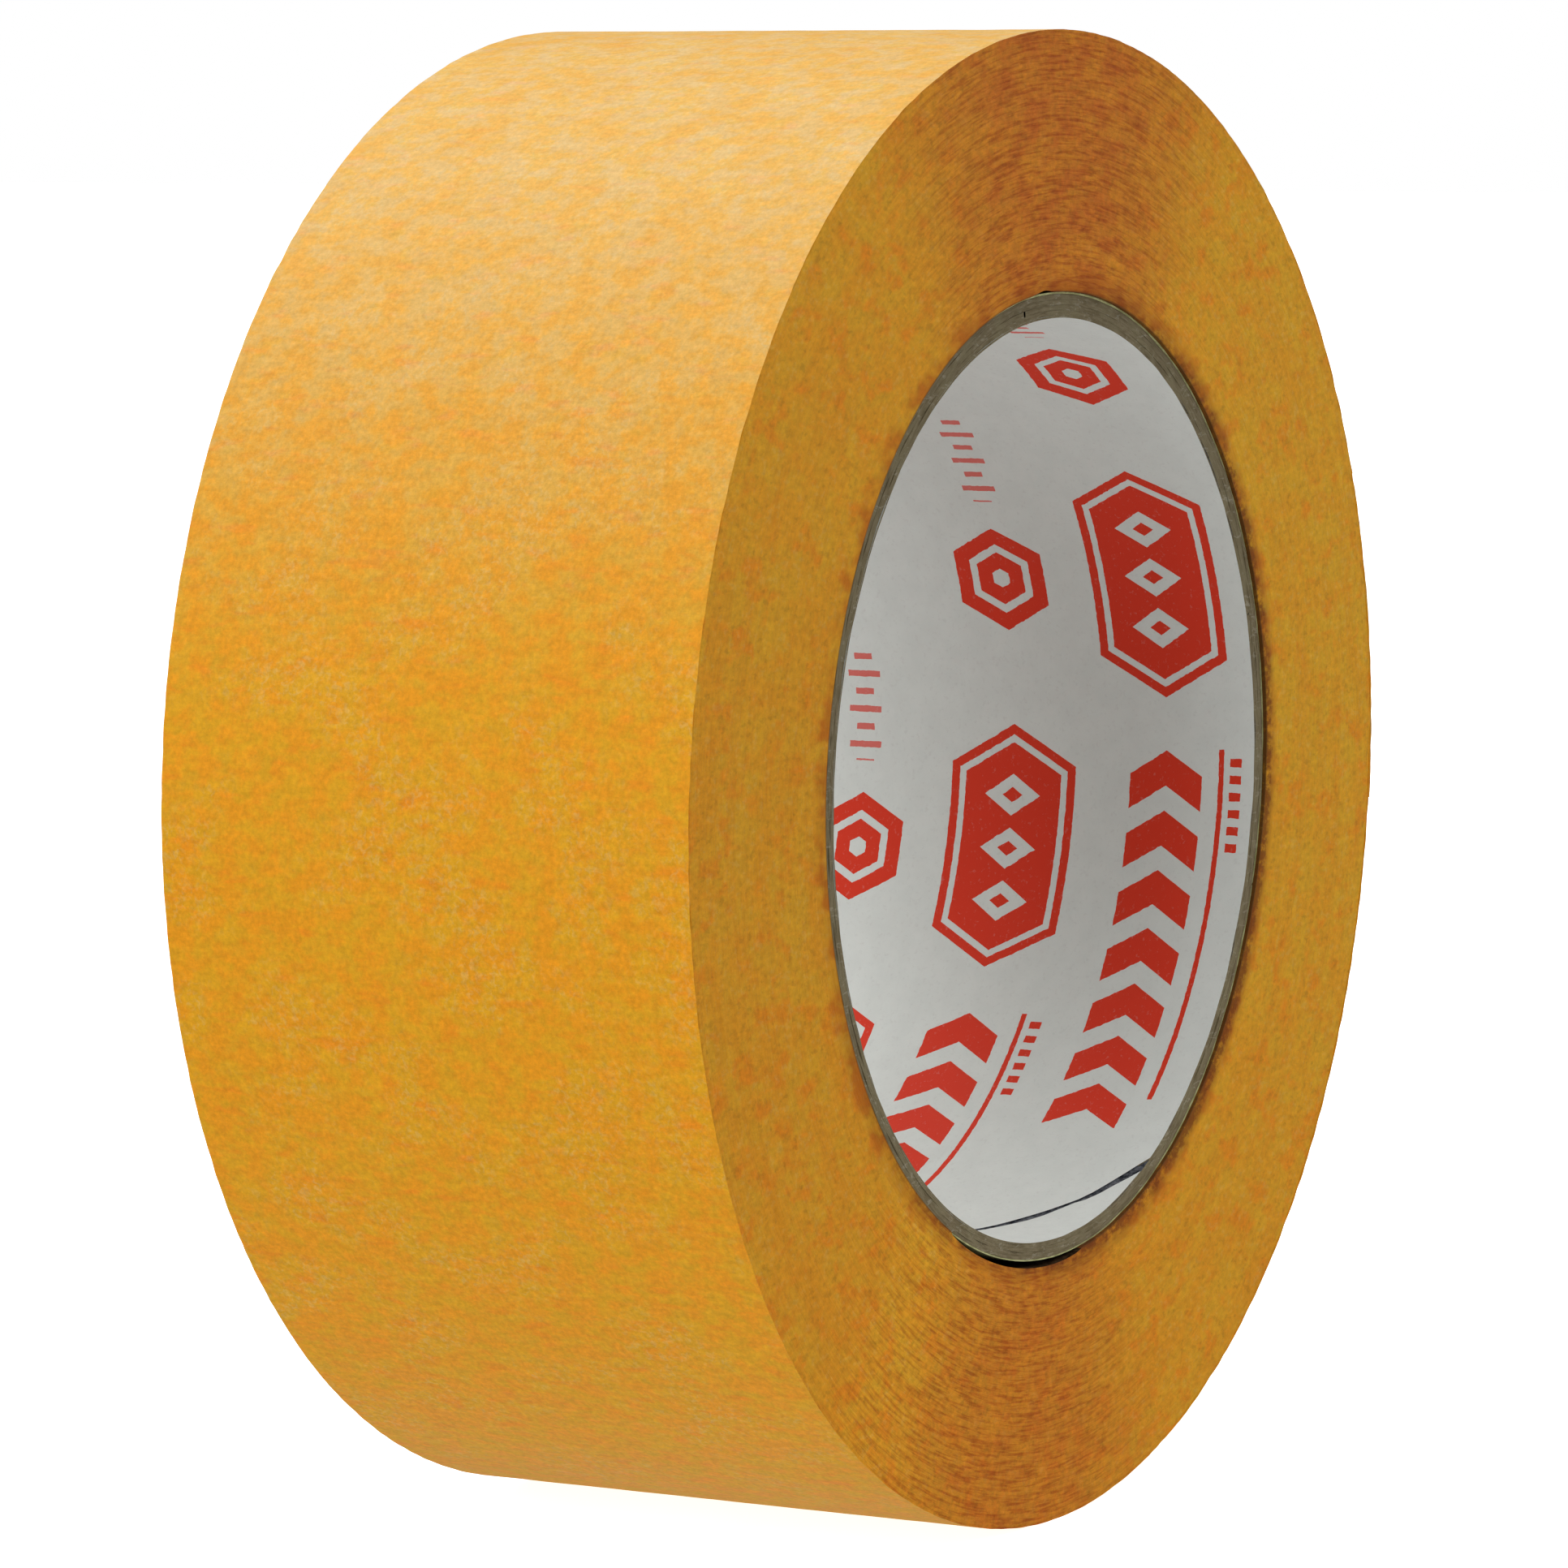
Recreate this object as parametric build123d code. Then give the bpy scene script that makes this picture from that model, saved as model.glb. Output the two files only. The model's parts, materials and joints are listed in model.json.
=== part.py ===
from build123d import *

import os
from math import asin, cos, degrees, pi, radians, sin, sqrt, tan

# Roll of crepe masking tape standing on its rim. Millimetres, +Z up.
# The roll's axis lies along Y, its front face looks towards -Y, and the
# origin is at the middle of the core's bore.

# Core: a spiral-wound paper tube
bore_diameter = 76.6
liner_thickness = 0.15
ply_thickness = 0.36
ply_count = 4
outer_ply_thickness = 0.13
glue_line = 0.02
helix_angle = 26.0
liner_seam_gap = 0.30
ply_seam_gap = 0.30
liner_seam_angle = -63.7
ply_seam_stagger = 81.2

# Tape: one strip wound on the core
tape_width = 47.75
tape_length = 54860.0
tape_thickness = 0.127
core_recess = 0.40

# Free end of the strip, and the loose spot between core and tape
free_end_length = 30.0
free_end_angle = -6.0
free_end_gap = 0.02
blister_depth = 0.60
blister_angle = -101.0
blister_half_angle = 17.5

bore_radius = bore_diameter / 2
core_length = tape_width - 2 * core_recess
helix_lead = pi * bore_diameter * tan(radians(helix_angle))
core_twist = 360 * core_length / helix_lead


def polar(centre, radius, angle):
    """Point at an angle from +X towards +Z round a centre in the XZ plane."""
    x, z = centre
    return (x + radius * cos(radians(angle)), z + radius * sin(radians(angle)))


def arc(centre, radius, start, end):
    """Arc round a centre from one angle to another."""
    points = [polar(centre, radius, angle) for angle in (start, (start + end) / 2, end)]
    return ThreePointArc(*points)


def extruded(section, length):
    """Solid of an XZ section, centred on the middle of the roll's width."""
    return extrude(Plane.XZ * section, amount=length / 2, both=True)


def core_layer(inner_radius, thickness, seam_gap, seam_angle):
    """One paper strip of the core, with the helical gap between its edges."""
    outer_radius = inner_radius + thickness
    tube = extruded(Circle(outer_radius) - Circle(inner_radius), core_length)
    overrun = 0.5 * thickness
    opening = seam_gap / sin(radians(helix_angle))
    half_angle = degrees(asin(opening / (2 * outer_radius)))
    low = inner_radius - overrun
    high = outer_radius + overrun
    corners = [
        polar((0, 0), radius, seam_angle + side * half_angle)
        for radius, side in ((low, -1), (high, -1), (high, 1), (low, 1))
    ]
    front = -core_length / 2
    section = Face(Wire.make_polygon([Vector(x, front, z) for x, z in corners]))
    seam = Solid.extrude_linear_with_rotation(
        section, (0, front, 0), (0, core_length, 0), core_twist
    )
    return tube - seam


def core_layers():
    """The liner, the grey plies and the outer ply, from the bore outwards."""
    layers = {}
    radius = bore_radius
    layers["core_liner"] = core_layer(radius, liner_thickness, liner_seam_gap, liner_seam_angle)
    radius += liner_thickness + glue_line
    for number in range(1, ply_count + 1):
        seam_angle = liner_seam_angle + number * ply_seam_stagger
        layers[f"core_ply_{number}"] = core_layer(radius, ply_thickness, ply_seam_gap, seam_angle)
        radius += ply_thickness + glue_line
    seam_angle = liner_seam_angle + (ply_count + 1) * ply_seam_stagger
    layers["core_outer_ply"] = core_layer(radius, outer_ply_thickness, ply_seam_gap, seam_angle)
    return layers, radius + outer_ply_thickness


def blister(core_radius):
    """Circle that bulges past the core where the first turns stand off it."""
    reach = 2 * core_radius * blister_depth + blister_depth**2
    span = 2 * core_radius * (1 - cos(radians(blister_half_angle))) + 2 * blister_depth
    shift = reach / span
    return Pos(*polar((0, 0), shift, blister_angle)) * Circle(core_radius + blister_depth - shift)


def tape(core_radius):
    """The wound strip and its free end, which share one two-centre spiral."""
    roll_radius = sqrt((core_radius**2) + tape_length * tape_thickness / pi)
    half_turn = tape_thickness / 2
    tip = free_end_angle
    lift = tip + degrees(free_end_length / roll_radius)
    near = (0.0, 0.0)
    far = polar(near, half_turn, tip)

    outline = [
        arc(near, roll_radius, tip, tip - 180),
        arc(far, roll_radius + half_turn, tip + 180, lift),
        Line(polar(far, roll_radius + half_turn, lift), polar(far, roll_radius - half_turn, lift)),
        arc(far, roll_radius - half_turn, lift, tip),
    ]
    section = make_face(outline) - Circle(core_radius) - blister(core_radius)
    winding = extruded(section, tape_width)

    inner = roll_radius - half_turn + free_end_gap
    outer = inner + tape_thickness
    start = lift - degrees(free_end_gap / roll_radius)
    strip = [
        arc(far, inner, start, tip),
        Line(polar(far, inner, tip), polar(far, outer, tip)),
        arc(far, outer, tip, start),
        Line(polar(far, outer, start), polar(far, inner, start)),
    ]
    free_end = extruded(make_face(strip), tape_width)
    peel_line = polar(far, roll_radius + half_turn, lift)
    return winding, free_end, roll_radius, peel_line


nodes, core_radius = core_layers()
winding, free_end, roll_radius, peel_line = tape(core_radius + glue_line)
nodes["tape_winding"] = winding
nodes["tape_free_end"] = free_end

os.makedirs("parts", exist_ok=True)
for name, solid in nodes.items():
    export_step(solid, f"parts/{name}.step")

print(f"core radius {core_radius:.3f}, roll radius {roll_radius:.3f}, core length {core_length:.3f}")
print(f"peel line at x {peel_line[0]:.4f}, z {peel_line[1]:.4f}")
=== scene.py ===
"""Masking tape roll: the looks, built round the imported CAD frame. Blender 4.5.

The roll's axis lies along Y, its front looks towards -Y, and angles run from +X
towards +Z. Sizes are in millimetres until a mesh is made, which is in metres."""

import json
import math

import bpy
import numpy as np
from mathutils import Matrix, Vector


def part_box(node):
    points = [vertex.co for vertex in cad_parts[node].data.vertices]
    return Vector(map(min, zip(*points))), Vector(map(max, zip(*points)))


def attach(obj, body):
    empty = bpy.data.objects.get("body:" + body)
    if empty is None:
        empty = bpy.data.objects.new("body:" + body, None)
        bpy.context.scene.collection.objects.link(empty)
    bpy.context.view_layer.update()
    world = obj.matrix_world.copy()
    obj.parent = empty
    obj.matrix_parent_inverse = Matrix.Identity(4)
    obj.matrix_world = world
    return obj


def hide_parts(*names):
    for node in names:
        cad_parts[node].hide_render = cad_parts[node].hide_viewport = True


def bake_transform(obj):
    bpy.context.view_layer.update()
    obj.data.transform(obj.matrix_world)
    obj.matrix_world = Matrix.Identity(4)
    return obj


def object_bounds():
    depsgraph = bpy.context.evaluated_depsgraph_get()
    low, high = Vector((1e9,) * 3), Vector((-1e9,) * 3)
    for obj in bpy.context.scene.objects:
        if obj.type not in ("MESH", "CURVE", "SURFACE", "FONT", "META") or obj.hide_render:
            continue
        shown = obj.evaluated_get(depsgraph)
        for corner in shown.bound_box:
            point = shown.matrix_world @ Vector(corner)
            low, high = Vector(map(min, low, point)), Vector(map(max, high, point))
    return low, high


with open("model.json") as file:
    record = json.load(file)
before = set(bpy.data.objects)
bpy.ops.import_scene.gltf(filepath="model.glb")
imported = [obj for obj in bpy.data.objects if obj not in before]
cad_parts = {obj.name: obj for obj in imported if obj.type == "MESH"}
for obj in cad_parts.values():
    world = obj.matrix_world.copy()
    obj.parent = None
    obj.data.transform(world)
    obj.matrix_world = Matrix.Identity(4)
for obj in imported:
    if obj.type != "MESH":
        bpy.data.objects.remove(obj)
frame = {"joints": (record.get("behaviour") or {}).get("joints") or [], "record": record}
cad_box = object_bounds()

MM = 0.001
CREASE = math.radians(35)
FACING = 0.7

# ---------------------------------------------------------------- sizes, in millimetres


def box_mm(node):
    """Lowest and highest corners of a CAD node, in millimetres."""
    low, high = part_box(node)
    return np.array(low) / MM, np.array(high) / MM


def outer_radius(node):
    """Outside radius of a layer of the core."""
    low, high = box_mm(node)
    return (high[2] - low[2]) / 2


mounts = {mount["name"]: mount for mount in frame["record"]["mounts"]}
peel_x, _, peel_z = np.array(frame["joints"][0]["pos_m"]) / MM

winding_low, winding_high = box_mm("tape_winding")
roll_radius = -winding_low[2]
half_width = winding_high[1]
bore_radius = mounts["core_bore"]["dims"]["r_mm"]
half_core = mounts["core_bore"]["dims"]["length_mm"] / 2
core_radius = outer_radius("core_outer_ply")

# The strip of tape and its free end
tape_thickness = 0.127
glue_line = 0.02
crepe_depth = 0.010
edge_wear = 0.02
tip_angle = -6.0
tip_lift = 0.10
bend_length = 5.0
peel_angle = math.degrees(math.atan2(peel_z, peel_x))
end_angle = peel_angle - tip_angle

# The paper strips of the core
liner_thickness = 0.15
ply_thickness = 0.372
wrap_thickness = 0.13
ply_count = 4
helix_angle = math.radians(26.0)
helix_lead = 2 * math.pi * bore_radius * math.tan(helix_angle)
liner_seam_angle = -63.7
liner_seam_gap = 0.70
liner_seam_flare = 0.30
ply_seam_stagger = 81.2
ply_seam_gap = 0.10
board_unevenness = 0.17

# The places where the first turns stand off the core
blister_angle = -101.0
blister_half_angle = 17.5
blister_depth = 0.55
nick_angle = 94.0
nick_half_angle = 2.0
nick_depth = 0.25

# ---------------------------------------------------------------- meshes


def blurred_noise(rows, columns, row_blur, column_blur, seed):
    """Smooth random field of unit spread, which joins up at its ends both ways."""
    falloff = 4
    white = np.random.default_rng(seed).standard_normal((rows, columns))
    down = np.fft.fftfreq(rows)[:, None] * row_blur
    across = np.fft.fftfreq(columns)[None, :] * column_blur
    kept = np.exp(-((down**2 + across**2) * falloff))
    smooth = np.fft.ifft2(np.fft.fft2(white) * kept).real
    return smooth / smooth.std()


def around(angle, radius):
    """X and Z of points round the axis, at angles in degrees from +X towards +Z."""
    turned = np.radians(angle)
    return radius * np.cos(turned), radius * np.sin(turned)


def loft(name, x, y, z, closed):
    """Mesh through a grid of points, where each row is one loop. Open lofts get end caps."""
    rows, loop = x.shape
    points = np.stack([x, y, z], axis=-1).reshape(-1, 3)
    row = np.arange(rows if closed else rows - 1)[:, None]
    column = np.arange(loop)[None, :]
    after_row = (row + 1) % rows
    after_column = (column + 1) % loop
    corners = [
        row * loop + column,
        row * loop + after_column,
        after_row * loop + after_column,
        after_row * loop + column,
    ]
    faces = np.stack(np.broadcast_arrays(*corners), axis=-1).reshape(-1, 4)
    if not closed:
        side = np.arange(loop // 2 - 1)
        cap = np.stack([loop - 1 - side, loop - 2 - side, side + 1, side], axis=-1)
        faces = np.concatenate([faces, cap, cap[:, ::-1] + (rows - 1) * loop])
    mesh = bpy.data.meshes.new(name)
    mesh.from_pydata((points * MM).tolist(), [], faces.tolist())
    place = mesh.attributes.new("place", "FLOAT_VECTOR", "POINT")
    place.data.foreach_set("vector", points.astype(np.float32).ravel())
    mesh.shade_smooth()
    mesh.set_sharp_from_angle(angle=CREASE)
    mesh.update()
    piece = bpy.data.objects.new(name, mesh)
    bpy.context.collection.objects.link(piece)
    return piece


def turn_surface(behind):
    """Outer surface of the strip at an angle behind its tip, as x and z.

    The roll's outline is a two-centre spiral that loses one thickness in each turn."""
    turns, within = np.divmod(behind, 360.0)
    far = within < 180.0
    radius = roll_radius - turns * tape_thickness + np.where(far, tape_thickness / 2, 0.0)
    far_x, far_z = around(tip_angle, tape_thickness / 2)
    x, z = around(tip_angle + behind, radius)
    return x + np.where(far, far_x, 0.0), z + np.where(far, far_z, 0.0)


def share_from(centre, half_angle, angle):
    """How far angles are from a centre the short way round, in half angles."""
    return ((angle - centre + 180) % 360 - 180) / half_angle


def core_gap(angle):
    """How far the first turns stand off the core: a loose crescent low down, a nick on top."""
    bulge = np.clip(1 - share_from(blister_angle, blister_half_angle, angle) ** 2, 0, None)
    nick = np.exp(-(share_from(nick_angle, nick_half_angle, angle) ** 2))
    return blister_depth * bulge**0.4 + nick_depth * nick


def uneven(radius, angle):
    """Radius inside the core wall, where the board is a little thicker on top than below."""
    return bore_radius + (radius - bore_radius) * (1 + board_unevenness * np.sin(np.radians(angle)))


def edge_inset(columns, across):
    """How far the turns' slit edges lie inside the roll's width, round it and outwards."""
    rough = blurred_noise(columns, across, 60, 1.2, seed=11)
    broad = blurred_noise(columns, across, 90, 9, seed=12)
    usual_inset = 0.045
    set_back_at_core = 0.05
    inset = np.clip(usual_inset + 0.016 * rough + 0.014 * broad, 0, None)
    inset[:, 0] += set_back_at_core
    return inset


def wound_turns():
    """All the turns under the last one, with their edges standing in fine rings."""
    columns, across = 640, 56
    behind = 360.0 + end_angle + np.linspace(0.03, 360.0, columns)
    angle = tip_angle + behind
    outer_x, outer_z = turn_surface(behind)
    inner_x, inner_z = around(angle, uneven(core_radius + glue_line, angle) + core_gap(angle))
    inset = edge_inset(columns, across)
    rear_inset = np.roll(inset, columns // 3, axis=0)
    spread = np.linspace(0, 1, across)[None, :]
    face_x = inner_x[:, None] * (1 - spread) + outer_x[:, None] * spread
    face_z = inner_z[:, None] * (1 - spread) + outer_z[:, None] * spread
    width = np.ones((columns, 1)) * np.linspace(-1, 1, 6)[None, 1:-1]
    level = np.ones_like(width)
    x = np.hstack([face_x, outer_x[:, None] * level, face_x[:, ::-1], inner_x[:, None] * level])
    z = np.hstack([face_z, outer_z[:, None] * level, face_z[:, ::-1], inner_z[:, None] * level])
    front, rear = inset - half_width, half_width - rear_inset[:, ::-1]
    y = np.hstack([front, width * half_width, rear, width[:, ::-1] * half_width])
    return loft("tape_wound_turns", x, y, z, closed=True)


def strip(name, behind, rows, lift, seed):
    """A stretch of the tape itself, one thickness deep, with creped faces and worn edges."""
    columns = len(behind)
    outer_x, outer_z = turn_surface(behind)
    inner_x, inner_z = turn_surface(behind + 360.0)
    angle = np.radians(tip_angle + behind)[:, None]
    from_end = np.minimum(np.arange(columns), np.arange(columns)[::-1])
    wrinkle = crepe_depth * blurred_noise(columns, rows, 2.2, 2.4, seed)
    wrinkle *= np.minimum(1, from_end / 6)[:, None]
    wrinkle += lift[:, None]
    out_x, out_z = np.cos(angle) * wrinkle, np.sin(angle) * wrinkle
    x = np.hstack([outer_x[:, None] + out_x, (inner_x[:, None] + out_x)[:, ::-1]])
    z = np.hstack([outer_z[:, None] + out_z, (inner_z[:, None] + out_z)[:, ::-1]])
    ragged = edge_wear * blurred_noise(columns, 2, 3, 0, seed + 1)
    y = np.tile(np.linspace(-half_width, half_width, rows), (columns, 1))
    y[:, 0] += np.clip(edge_wear + ragged[:, 0], 0, 4 * edge_wear)
    y[:, -1] -= np.clip(edge_wear + ragged[:, 1], 0, 4 * edge_wear)
    return loft(name, x, np.hstack([y, y[:, ::-1]]), z, closed=False)


def last_turn():
    """The outermost turn, from the peel line back to where it dives under itself."""
    columns = 1080
    behind = end_angle + np.linspace(0.0, 360.0, columns)
    return strip("tape_last_turn", behind, 44, np.zeros(columns), seed=21)


def free_end():
    """The end of the strip, which a person lifts to start a length."""
    behind = np.linspace(0.0, end_angle, 96)
    lift = tip_lift * (1 - behind / end_angle) ** 2
    return strip("tape_lifting_end", behind, 64, lift, seed=31)


def core_strip(name, node, thickness, seam_angle, seam_gap, seed, rows=56, fray=0.03, flare=0.0):
    """One paper strip of the core: a tube with a helical gap where its edges meet.

    The gap's edges wander, it widens by the flare at the front, and the ends are frayed."""
    columns = 320
    flare_reach = 4.0
    wander = 0.35
    outside = outer_radius(node)
    depth = 2 * half_core * np.linspace(0, 1, rows)[None, :]
    gap = (seam_gap + flare * np.exp(-depth / flare_reach)) / math.sin(helix_angle)
    half_gap = np.degrees(gap / outside / 2)
    edge = 1 + wander * blurred_noise(2, rows, 0, 2, seed + 5)
    turn = np.linspace(0, 1, columns)[:, None]
    start = seam_angle - 360 * depth / helix_lead
    angle = start + half_gap * edge[:1] + turn * (360 - half_gap * (edge[:1] + edge[1:]))
    ragged = fray * blurred_noise(columns, 2, 2.5, 0, seed)
    y = np.tile(depth - half_core, (columns, 1))
    y[:, 0] += ragged[:, 0] + fray
    y[:, -1] -= ragged[:, 1] + fray
    out_x, out_z = around(angle, uneven(outside, angle))
    in_x, in_z = around(angle, uneven(outside - thickness, angle))
    x = np.hstack([out_x, in_x[:, ::-1]])
    z = np.hstack([out_z, in_z[:, ::-1]])
    return loft(name, x, np.hstack([y, y[:, ::-1]]), z, closed=False)


# ---------------------------------------------------------------- shader tools


class Field:
    """A shader value that takes part in ordinary arithmetic."""

    def __init__(self, shader, socket):
        self.shader = shader
        self.socket = socket

    def __add__(self, other):
        return self.shader.math("ADD", self, other)

    def __sub__(self, other):
        return self.shader.math("SUBTRACT", self, other)

    def __mul__(self, other):
        return self.shader.math("MULTIPLY", self, other)

    def __truediv__(self, other):
        return self.shader.math("DIVIDE", self, other)

    def __abs__(self):
        return self.shader.math("ABSOLUTE", self)

    def __lt__(self, other):
        return self.shader.math("LESS_THAN", self, other)

    def __gt__(self, other):
        return self.shader.math("GREATER_THAN", self, other)

    def lowest(self, other):
        return self.shader.math("MINIMUM", self, other)

    def highest(self, other):
        return self.shader.math("MAXIMUM", self, other)

    def wrap(self, period):
        return self.shader.math("FLOORED_MODULO", self, period)

    def floor(self):
        return self.shader.math("FLOOR", self)

    def within(self, low, high):
        """1 where the value lies between two bounds, otherwise 0."""
        return (self > low) * (self < high)

    def between(self, low, high):
        """Smooth step from 0 at low to 1 at high."""
        inputs = {"Value": self, "From Min": low, "From Max": high}
        return self.shader.add("ShaderNodeMapRange", inputs, interpolation_type="SMOOTHSTEP")


class Shader:
    """One material and short calls that add nodes to it."""

    def __init__(self, name):
        self.material = bpy.data.materials.new(name)
        self.material.use_nodes = True
        self.tree = self.material.node_tree
        self.surface = self.tree.nodes["Principled BSDF"]
        self.place = self.add("ShaderNodeAttribute", {}, "Vector", attribute_name="place")

    def feed(self, socket, value):
        if isinstance(value, Field):
            self.tree.links.new(value.socket, socket)
        else:
            socket.default_value = value

    def add(self, kind, inputs, output=0, **settings):
        """Adds a node, feeds its inputs by name or number, and gives one of its outputs."""
        node = self.tree.nodes.new(kind)
        for name, value in settings.items():
            setattr(node, name, value)
        for name, value in inputs.items():
            self.feed(node.inputs[name], value)
        return Field(self, node.outputs[output])

    def math(self, operation, *values):
        return self.add("ShaderNodeMath", dict(enumerate(values)), operation=operation)

    def vector(self, operation, *values, output=0):
        return self.add("ShaderNodeVectorMath", dict(enumerate(values)), output, operation=operation)

    def split(self, vector):
        node = self.tree.nodes.new("ShaderNodeSeparateXYZ")
        self.feed(node.inputs[0], vector)
        return [Field(self, output) for output in node.outputs]

    def join(self, x, y, z):
        return self.add("ShaderNodeCombineXYZ", {0: x, 1: y, 2: z})

    def noise(self, vector, scale, detail, roughness, distortion=0.0):
        """Fractal noise centred on 0.5; scale is in features per unit of the vector."""
        inputs = {"Vector": vector, "Scale": scale, "Detail": detail}
        inputs.update({"Roughness": roughness, "Distortion": distortion})
        return self.add("ShaderNodeTexNoise", inputs)

    def mix(self, share, first, second, blend="MIX"):
        """Two colours mixed by a share of the second."""
        node = self.tree.nodes.new("ShaderNodeMix")
        node.data_type = "RGBA"
        node.blend_type = blend
        self.feed(node.inputs[0], share)
        self.feed(node.inputs[6], first)
        self.feed(node.inputs[7], second)
        return Field(self, node.outputs[2])

    def darken(self, colour, red, green, blue):
        """A colour multiplied channel by channel."""
        return self.mix(1.0, colour, self.join(red, green, blue), "MULTIPLY")

    def bump(self, height, distance, strength, under=None):
        """Relief from a height field, where 1 stands for a distance in metres."""
        inputs = {"Height": height, "Distance": distance, "Strength": strength}
        if under is not None:
            inputs["Normal"] = under
        return self.add("ShaderNodeBump", inputs)

    def polar(self):
        """Radius and unit direction round the roll's axis, and distance along it."""
        x, y, z = self.split(self.place)
        flat = self.join(x, 0.0, z)
        radius = self.vector("LENGTH", flat, output="Value")
        return radius, self.split(self.vector("NORMALIZE", flat)), y

    def ringed(self, radius, direction, along, across, detail, roughness):
        """Noise drawn out round the axis: features are 1/along radians by 1/across mm."""
        spun = self.join(direction[0] * along, direction[2] * along, radius * across)
        return self.noise(spun, 1.0, detail, roughness)

    def finish(self, colour, roughness, normal=None, **constants):
        """Feeds the surface, and sets its constant inputs by their names."""
        self.feed(self.surface.inputs["Base Color"], colour)
        self.feed(self.surface.inputs["Roughness"], roughness)
        if normal is not None:
            self.feed(self.surface.inputs["Normal"], normal)
        for name, value in constants.items():
            title = name.replace("_", " ").title().replace("Ior", "IOR")
            self.surface.inputs[title].default_value = value
        return self.material


# ---------------------------------------------------------------- materials of the tape


def crepe_face():
    """Backing of the tape: saturated crepe paper, mottled gold and orange, finely wrinkled."""
    s = Shader("crepe_face")
    gold = (0.77, 0.305, 0.013, 1)
    straw = (0.70, 0.345, 0.015, 1)
    olive = (0.62, 0.350, 0.022, 1)
    orange = (0.80, 0.220, 0.013, 1)
    pale_fibre = (0.66, 0.440, 0.150, 1)
    # The next two are the pale colours of the painted sheen on top
    warm_sheen = (0.74, 0.605, 0.210, 1)
    cool_sheen = (0.73, 0.595, 0.350, 1)

    squeezed = s.vector("MULTIPLY", s.place, (1.0, 0.80, 1.0))
    ridges = s.vector("MULTIPLY", s.place, (1.0, 0.32, 1.0))
    cloudy = s.noise(squeezed, 0.15, 3.0, 0.6)
    mottle = s.noise(squeezed, 0.60, 3.0, 0.55)
    flecks = s.noise(ridges, 0.90, 2.0, 0.5)
    fibres = s.noise(s.vector("ADD", s.place, (31.0, 7.0, 5.0)), 1.8, 2.0, 0.55, 0.8)
    olives = s.noise(s.vector("ADD", squeezed, (3.0, 17.0, 45.0)), 0.65, 2.0, 0.5)
    grain = s.noise(s.place, 2.1, 3.0, 0.75)
    wrinkle = s.noise(ridges, 1.6, 4.0, 0.65)
    _, direction, _ = s.polar()

    colour = s.mix(mottle.between(0.36, 0.64), gold, straw)
    colour = s.mix(olives.between(0.54, 0.72) * 0.32, colour, olive)
    colour = s.mix(flecks.between(0.56, 0.74) * 0.44, colour, orange)

    # Painted sheen: the top of the roll is painted paler, with more pale fibres and a pale bloom
    # where light falls on it, and its grain and wrinkles show less there
    above = direction[2].between(0.10, 1.0)
    fibres_and_top_sheen = cloudy.between(0.44, 0.62) * 0.34 + above * 0.22 + 0.02
    colour = s.mix(fibres.between(0.46, 0.72) * fibres_and_top_sheen, colour, pale_fibre)
    painted_sheen = above * (cloudy * 0.45 + mottle * 0.20 + 0.08)
    sheen_colour = s.mix(mottle.between(0.40, 0.60), warm_sheen, cool_sheen)
    colour = s.mix(painted_sheen, colour, sheen_colour)
    shade = (grain * 0.66 + wrinkle * 0.34 - 0.50) * (above * -0.22 + 1.0) + 0.990
    colour = s.darken(colour, shade, shade, shade)

    relief = s.bump(wrinkle, 0.00006, 0.55)
    relief = s.bump(grain, 0.00003, 0.45, relief)
    return s.finish(colour, mottle * 0.2 + 0.45, relief, specular_ior_level=0.07)


def stained_and_shaded(s, colour, radius, direction, flecks, mottle, grain):
    """Stains on the side of the roll round the core, darker smudges there that are heaviest towards
    +X and the bottom, and a painted shadow line just outside the core.
    """
    stain = (0.42, 0.105, 0.006, 1)
    dark_smudge = (0.15, 0.034, 0.004, 1)
    # Colour of the painted shadow line along the core
    painted_gap_shadow = (0.075, 0.036, 0.010, 1)
    board_swell = board_unevenness * (core_radius - bore_radius)
    inward = radius * -1.0 + direction[2] * board_swell

    stains = inward.between(-core_radius - 3.0, -core_radius - 0.4) * (flecks * 3.2 - 1.25)
    colour = s.mix(stains.highest(0.0).lowest(0.6), colour, stain)
    # Darker smudges near the core, heaviest towards +X and the bottom
    core_smudge = inward.between(-core_radius - 2.3, -core_radius + 0.4)
    core_smudge = core_smudge * (grain * 4.4 + mottle * 2.8 - 2.6)
    core_smudge = core_smudge * (direction[0] * 0.45 - direction[2] * 0.25 + 0.58)
    colour = s.mix(core_smudge.highest(0.0).lowest(0.85), colour, dark_smudge)
    # Painted shadow: a thin dark line just outside the core, where the tape's edge stands over the
    # recessed core
    return s.mix(inward.between(-core_radius - 0.24, -core_radius) * 0.7, colour, painted_gap_shadow)


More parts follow.
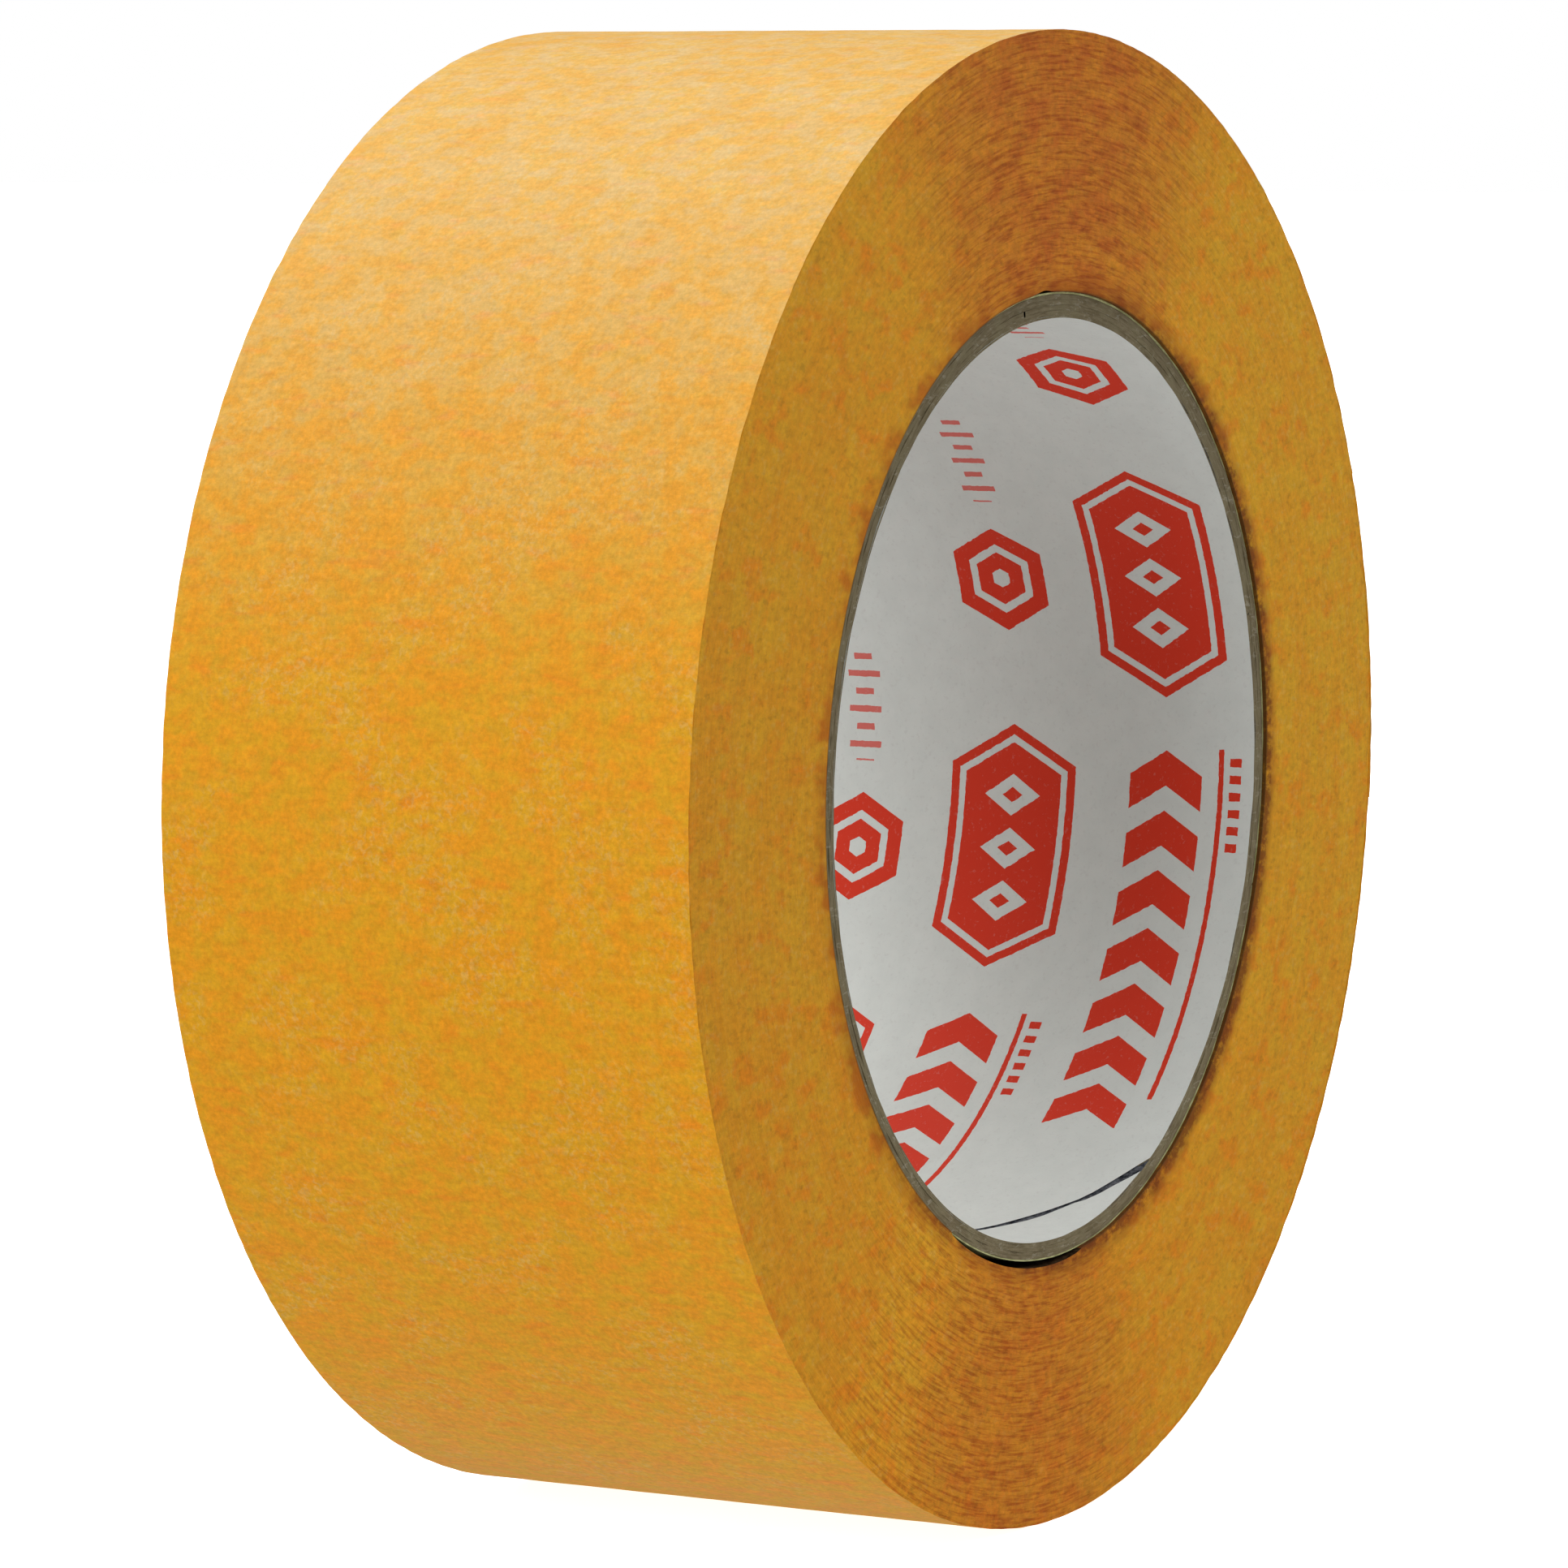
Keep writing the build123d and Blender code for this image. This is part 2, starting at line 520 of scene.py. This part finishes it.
def crepe_edges():
    """Side of the roll: the slit edges of the turns, darker, in fine broken rings."""
    s = Shader("crepe_edges")
    gold = (0.685, 0.298, 0.015, 1)
    straw = (0.660, 0.326, 0.018, 1)
    amber = (0.66, 0.250, 0.012, 1)
    orange = (0.73, 0.205, 0.009, 1)
    pale_speck = (0.66, 0.430, 0.110, 1)
    russet = (0.455, 0.112, 0.012, 1)
    dark_speck = (0.16, 0.070, 0.008, 1)

    radius, direction, _ = s.polar()
    fine = s.ringed(radius, direction, 30.0, 4.2, 2.0, 0.7)
    lines = s.ringed(radius, direction, 15.0, 3.4, 2.0, 0.6)
    bands = s.ringed(radius, direction, 2.2, 0.45, 2.0, 0.5)
    drawn = s.vector("MULTIPLY", s.place, (0.65, 1.0, 1.0))
    mottle = s.noise(drawn, 0.48, 3.0, 0.58)
    flecks = s.noise(drawn, 0.52, 2.0, 0.55, 0.2)
    specks = s.noise(drawn, 1.7, 2.0, 0.5)
    grain = s.noise(drawn, 1.9, 3.0, 0.75)

    colour = s.mix(mottle.between(0.38, 0.62), gold, straw)
    colour = s.mix(bands.between(0.40, 0.68) * 0.40, colour, amber)
    colour = s.mix(flecks.between(0.50, 0.72) * 0.60, colour, orange)
    colour = s.mix(specks.between(0.42, 0.30) * 0.20, colour, pale_speck)

    # Painted shade: a russet fan spreads from the core to the outer edge at the top, and a fainter
    # one below, where light catches the rings less
    top = direction[2].between(0.82, 1.02)
    under = (direction[2] * -0.99 - direction[0] * 0.12).between(0.88, 1.02)
    painted_shade_fan = (top + under * 0.8).lowest(1.0)
    blotches = mottle.between(0.32, 0.66) * 0.22 + flecks.between(0.36, 0.64) * 0.16 + 0.66
    colour = s.mix(painted_shade_fan * blotches, colour, russet)
    colour = s.mix(specks.between(0.58, 0.72) * 0.20, colour, dark_speck)
    colour = stained_and_shaded(s, colour, radius, direction, flecks, mottle, grain)

    # Painted shade: the rings are darkened into rows of thin lines in those two places and show as
    # grain elsewhere, and the side is painted a little lighter in red towards the bottom and in
    # green and blue towards +X
    low = (direction[2] * -0.97 - direction[0] * 0.24).between(0.82, 1.02)
    rows = (top + low).lowest(1.0)
    ring_lines_and_shade = (lines.between(0.30, 0.60) - 0.6) * (rows * 0.40 + 0.06)
    grain_and_shade = grain * (rows * 0.30 + 0.70) + fine * (rows * 0.18 + 0.04) + (rows * -0.22 + 0.645)
    red = ring_lines_and_shade * 0.75 + grain_and_shade + direction[2].lowest(0.0) * -0.06
    green = ring_lines_and_shade * 1.35 + grain_and_shade + direction[0].highest(0.0) * 0.06
    colour = s.darken(colour, red, green, green)

    relief = s.bump(lines, 0.00012, 0.5)
    relief = s.bump(fine, 0.00007, 0.6, relief)
    relief = s.bump(grain, 0.00003, 0.4, relief)
    return s.finish(colour, 0.62, relief, specular_ior_level=0.08)


def adhesive():
    """Sticky side of the strip: a thin, slightly glossy rubber coat over the paper."""
    s = Shader("adhesive")
    amber = (0.66, 0.360, 0.080, 1)
    honey = (0.72, 0.440, 0.140, 1)
    ridges = s.vector("MULTIPLY", s.place, (1.0, 0.22, 1.0))
    wrinkle = s.noise(ridges, 1.6, 4.0, 0.65)
    mottle = s.noise(s.place, 0.4, 4.0, 0.6)
    colour = s.mix(mottle, amber, honey)
    relief = s.bump(wrinkle, 0.00005, 0.4)
    return s.finish(colour, mottle * 0.25 + 0.22, relief, specular_ior_level=0.6)


# ---------------------------------------------------------------- materials of the core


def chipboard():
    """Grey recycled board of the core, seen as a cut edge with scuffs."""
    s = Shader("chipboard")
    dark_pulp = (0.125, 0.098, 0.050, 1)
    pale_pulp = (0.215, 0.175, 0.105, 1)
    cloud = (0.215, 0.185, 0.105, 1)
    scuff = (0.34, 0.31, 0.23, 1)
    pit = (0.06, 0.048, 0.028, 1)
    radius, direction, _ = s.polar()
    fibres = s.ringed(radius, direction, 26.0, 5.0, 3.0, 0.65)
    clouds = s.noise(s.place, 0.35, 3.0, 0.6)
    scuffs = s.noise(s.vector("MULTIPLY", s.place, (0.5, 1.0, 1.6)), 1.3, 3.0, 0.7, 0.8)
    pulp = s.noise(s.place, 5.0, 3.0, 0.7)
    colour = s.mix(fibres.between(0.25, 0.75), dark_pulp, pale_pulp)
    colour = s.mix(clouds.between(0.40, 0.65) * 0.5, colour, cloud)
    colour = s.mix(scuffs.between(0.56, 0.68) * 0.55, colour, scuff)
    colour = s.mix(pulp.between(0.60, 0.72) * 0.4, colour, pit)
    # Painted shade: the cut edge of the board is darker towards the top of the ring
    shade = direction[2] * -0.13 + 1.08
    colour = s.darken(colour, shade, shade, shade)
    relief = s.bump(fibres, 0.00012, 0.6)
    relief = s.bump(pulp, 0.00005, 0.5, relief)
    return s.finish(colour, 0.85, relief, specular_ior_level=0.12)


def shaded_glue(name, darkest, palest):
    """Painted shade in the liner's seam and in the loose spot under the first turns: dark, mottled
    glue colours.
    """
    s = Shader(name)
    stains = s.noise(s.place, 1.5, 3.0, 0.75)
    colour = s.mix(stains.between(0.30, 0.75), darkest, palest)
    return s.finish(colour, 1.0, s.bump(stains, 0.00005, 0.5), specular_ior_level=0.0)


def pale_paper():
    """Thin outer wrap of the core, pale yellow."""
    s = Shader("pale_paper")
    dull_yellow = (0.36, 0.36, 0.15, 1)
    pale_yellow = (0.66, 0.66, 0.32, 1)
    radius, direction, _ = s.polar()
    fibres = s.ringed(radius, direction, 30.0, 4.0, 3.0, 0.6)
    colour = s.mix(fibres.between(0.35, 0.68), dull_yellow, pale_yellow)
    return s.finish(colour, 0.8, s.bump(fibres, 0.00006, 0.5), specular_ior_level=0.3)


def hexagon(u, wide, centre, straight):
    """Half width of the hexagon through each point, stretched by a straight part."""
    along = (abs(u - centre) - straight).highest(0.0)
    return wide.highest(along * 0.866 + wide * 0.5)


def chevron_ink(u, v, wide):
    """A row of chevrons with a line under it, and a short row of bars under that."""
    chevrons = (u + wide * 0.62).wrap(5.3) < 3.1
    chevrons = chevrons * (wide < 3.5) * u.within(3.2, 40.2)
    underline = v.within(-5.6, -5.1) * u.within(7.0, 40.5)
    bars = v.within(-7.3, -6.2) * u.within(31.5, 40.5) * (u.wrap(1.5) < 0.75)
    return chevrons + underline + bars


def plaque_ink(u, wide):
    """A long hexagonal plaque with an outline and three lozenges cut out of it."""
    middle, pitch = 56.0, 4.8
    plaque = hexagon(u, wide, middle, 4.0)
    from_lozenge = abs((u - middle + pitch / 2).wrap(pitch) - pitch / 2)
    lozenge = from_lozenge * 1.1 + wide * 0.75
    cut = (lozenge < 2.05) * (abs(u - middle) < 1.5 * pitch)
    solid = (plaque < 4.75) * (cut * -1.0 + 1.0)
    return plaque.within(5.35, 6.15) + solid + (lozenge < 0.75) * cut


def badge_ink(u, wide):
    """A hexagonal badge with a ring and a dot left blank in it."""
    badge = hexagon(u, wide, 80.6, 0.0)
    blank_ring = badge.within(2.2, 2.9) * -1.0 + 1.0
    blank_dot = badge.within(0.0, 0.8) * -1.0 + 1.0
    return (badge < 4.3) * blank_ring * blank_dot


def tick_ink(u, wide):
    """A faint run of tick marks, every other one longer."""
    longer = (u / 3.2).wrap(1.0) < 0.5
    return u.within(88.4, 99.0) * (u.wrap(1.6) < 0.56) * (wide < longer * 0.7 + 0.9) * 0.82


def printed_rows(s):
    """Red pattern of the liner: the same row of marks again and again, each row shifted.

    In a row, u runs round the bore and v along it, and wide is how far v is off centre."""
    row_pitch = 15.05
    row_shift = 25.2
    first_row = 8.9
    first_mark = 41.0
    radius, direction, depth = s.polar()
    turn = s.math("ARCTAN2", direction[2], direction[0])
    wobble = s.noise(s.place, 1.8, 2.0, 0.5) * 0.16 - 0.08
    deep = depth + half_width + wobble
    row = ((deep - first_row) / row_pitch + 0.5).floor()
    v = deep - first_row - row * row_pitch
    u = (turn * bore_radius + row * row_shift + first_mark + wobble).wrap(math.pi * bore_radius)
    wide = abs(v)
    marks = chevron_ink(u, v, wide) + plaque_ink(u, wide) + badge_ink(u, wide) + tick_ink(u, wide)
    return marks.lowest(1.0)


def liner_paper():
    """White paper lining of the bore, with the red print."""
    s = Shader("liner_paper")
    red_ink = (0.71, 0.042, 0.016, 1)
    cool_white = (0.680, 0.725, 0.690, 1)
    clean_white = (0.712, 0.757, 0.720, 1)
    grey_pulp = (0.48, 0.48, 0.46, 1)
    ink = printed_rows(s)
    mottle = s.noise(s.place, 0.45, 3.0, 0.6)
    pulp = s.noise(s.place, 2.4, 4.0, 0.65)
    paper = s.mix(mottle.between(0.3, 0.7), cool_white, clean_white)
    paper = s.mix(pulp.between(0.54, 0.70) * 0.20, paper, grey_pulp)
    worn = pulp.between(0.30, 0.42) * 0.10 + 0.90
    colour = s.mix(ink * worn, paper, red_ink)
    return s.finish(colour, 0.65, s.bump(pulp, 0.00001, 0.3), specular_ior_level=0.15)


# ---------------------------------------------------------------- pieces


def dress(piece, material, body, node):
    """Gives a piece its material and body, and hides the CAD node that it stands for."""
    piece.data.materials.append(material)
    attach(piece, body)
    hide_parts(node)


def paint(piece, material, wanted):
    """Gives another material to the faces whose centre and normal are wanted."""
    piece.data.materials.append(material)
    index = len(piece.data.materials) - 1
    for face in piece.data.polygons:
        if wanted(face.center, face.normal):
            face.material_index = index


def on_side(centre, normal):
    """Faces that look along the roll's axis."""
    return abs(normal.y) > FACING


def on_back(centre, normal):
    """Faces that look towards the roll's axis."""
    outward = normal.x * centre.x + normal.z * centre.z
    return outward < -FACING * math.hypot(centre.x, centre.z)


def in_loose_spot(centre, normal):
    """Inner faces of the first turns where they stand off the core."""
    least_gap = 0.1
    gap = core_gap(math.degrees(math.atan2(centre.z, centre.x)))
    return on_back(centre, normal) and gap > least_gap


def in_seam(centre, normal):
    """Faces along the edges of a strip's seam, away from its ends."""
    end_margin = 0.5
    return on_side(centre, normal) and abs(centre.y) < (half_core - end_margin) * MM


def blend_end(piece):
    """Works out where the free end would bend from the peel line on, but only bakes its transform
    into its mesh.
    """
    root_x, root_z = around(peel_angle, roll_radius)
    bend_x, bend_z = around(peel_angle - math.degrees(bend_length / roll_radius), roll_radius)
    root = (root_x * MM, 0, root_z * MM)
    bend = (bend_x * MM, 0, bend_z * MM)
    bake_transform(piece)


face_paper = crepe_face()
edge_paper = crepe_edges()
glue = adhesive()
board = chipboard()
# Painted shadow, dark and bluish, for the liner's seam
seam_shadow = shaded_glue("seam_shadow", (0.012, 0.015, 0.021, 1), (0.170, 0.180, 0.200, 1))
# Painted shade, dark brown, for the loose spot under the first turns
loose_spot_shade = shaded_glue("loose_spot_shade", (0.010, 0.006, 0.003, 1), (0.085, 0.050, 0.026, 1))

turns = wound_turns()
dress(turns, edge_paper, "roll", "tape_winding")
# Painted shade: the inside of the first turns in the loose spot is painted as dark glue in shade
paint(turns, loose_spot_shade, in_loose_spot)

outer_turn = last_turn()
dress(outer_turn, face_paper, "roll", "tape_winding")
paint(outer_turn, edge_paper, on_side)

lifting_end = free_end()
lifting_end.data.materials.append(face_paper)
paint(lifting_end, edge_paper, on_side)
paint(lifting_end, glue, on_back)
blend_end(lifting_end)
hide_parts("tape_free_end")

liner = core_strip("liner_strip", "core_liner", liner_thickness, liner_seam_angle, liner_seam_gap,
                   seed=41, rows=72, fray=0.02, flare=liner_seam_flare)
dress(liner, liner_paper(), "roll", "core_liner")
# Painted shade: the liner's cut ends take the darker board colour
paint(liner, board, on_side)
# Painted shadow: the edges of the liner's seam are painted dark
paint(liner, seam_shadow, in_seam)

for number in range(1, ply_count + 1):
    seam_angle = liner_seam_angle + number * ply_seam_stagger
    ply = core_strip(f"board_strip_{number}", f"core_ply_{number}", ply_thickness, seam_angle,
                     ply_seam_gap, seed=50 + number)
    dress(ply, board, "roll", f"core_ply_{number}")
    if number == 1:
        # Painted shadow: the inside of the first board ply, which shows through the liner's seam, is
        # painted dark
        paint(ply, seam_shadow, on_back)

seam_angle = liner_seam_angle + (ply_count + 1) * ply_seam_stagger
wrap = core_strip("outer_wrap_strip", "core_outer_ply", wrap_thickness, seam_angle,
                  ply_seam_gap, seed=61, fray=0.02)
dress(wrap, pale_paper(), "roll", "core_outer_ply")

# ---------------------------------------------------------------- floor, light and camera


def make_floor():
    """Pale floor with a glow of its own, so that it runs into the white surround."""
    reach = 8.0
    level = cad_box[0].z
    corners = [(-reach, -reach), (reach, -reach), (reach, reach), (-reach, reach)]
    mesh = bpy.data.meshes.new("floor")
    mesh.from_pydata([(x, y, level) for x, y in corners], [], [(0, 1, 2, 3)])
    floor = bpy.data.objects.new("floor", mesh)
    bpy.context.collection.objects.link(floor)
    s = Shader("pale_floor")
    speckle = s.noise(s.add("ShaderNodeTexCoord", {}, "Object"), 40.0, 3.0, 0.6)
    colour = s.mix(speckle, (0.95, 0.95, 0.95, 1), (0.97, 0.97, 0.97, 1))
    glowing = s.finish(colour, 0.6, emission_color=(1, 1, 1, 1), emission_strength=0.90)
    mesh.materials.append(glowing)
    floor.visible_glossy = False
    floor.visible_diffuse = False
    floor.visible_shadow = False


def make_light(name, place, size, power):
    """A square softbox that faces the roll."""
    data = bpy.data.lights.new(name, "AREA")
    data.shape = "SQUARE"
    data.size = size
    data.energy = power
    light = bpy.data.objects.new(name, data)
    light.location = place
    light.rotation_euler = (-Vector(place)).to_track_quat("-Z", "Y").to_euler()
    bpy.context.collection.objects.link(light)


def make_world():
    """White surround: bright at the horizon, overhead and underneath, darker in between."""
    # Each height runs from 0, straight down, to 1, straight up
    shade_at_height = (
        (0.22, 0.90),
        (0.32, 0.0),
        (0.44, 0.0),
        (0.485, 1.0),
        (0.52, 1.0),
        (0.56, 0.24),
        (0.70, 0.24),
        (0.84, 1.0),
    )
    world = bpy.data.worlds.new("studio")
    world.use_nodes = True
    nodes, links = world.node_tree.nodes, world.node_tree.links
    direction = nodes.new("ShaderNodeTexCoord")
    split = nodes.new("ShaderNodeSeparateXYZ")
    height = nodes.new("ShaderNodeMapRange")
    height.inputs["From Min"].default_value = -1.0
    ramp = nodes.new("ShaderNodeValToRGB")
    stops = ramp.color_ramp.elements
    while len(stops) < len(shade_at_height):
        stops.new(0.5)
    for stop, (place, shade) in zip(stops, shade_at_height):
        stop.position = place
        stop.color = (shade, shade, shade, 1)
    links.new(direction.outputs["Generated"], split.inputs[0])
    links.new(split.outputs["Z"], height.inputs["Value"])
    links.new(height.outputs[0], ramp.inputs[0])
    links.new(ramp.outputs[0], nodes["Background"].inputs["Color"])
    bpy.context.scene.world = world


def make_camera():
    """Long lens at the photo's angle, a little above the roll's middle and dipped towards it."""
    place_in_radii = Vector((-8.681, -4.786, 0.909))
    dip, heading = 5.361, -60.946
    data = bpy.data.cameras.new("camera")
    data.sensor_width = 36.0
    data.lens = 167.6
    camera = bpy.data.objects.new("camera", data)
    camera.location = place_in_radii * roll_radius * MM
    camera.rotation_euler = (math.radians(90 - dip), 0, math.radians(heading))
    bpy.context.collection.objects.link(camera)
    bpy.context.scene.camera = camera


make_floor()
make_light("overhead", (0.05, 0.38, 0.74), 0.45, 2.1)
make_light("left", (-1.00, 0.15, 0.20), 0.6, 4.5)
make_light("right", (0.60, -0.80, 0.35), 0.6, 2.45)
make_world()
make_camera()
bpy.context.scene.view_settings.view_transform = "Standard"
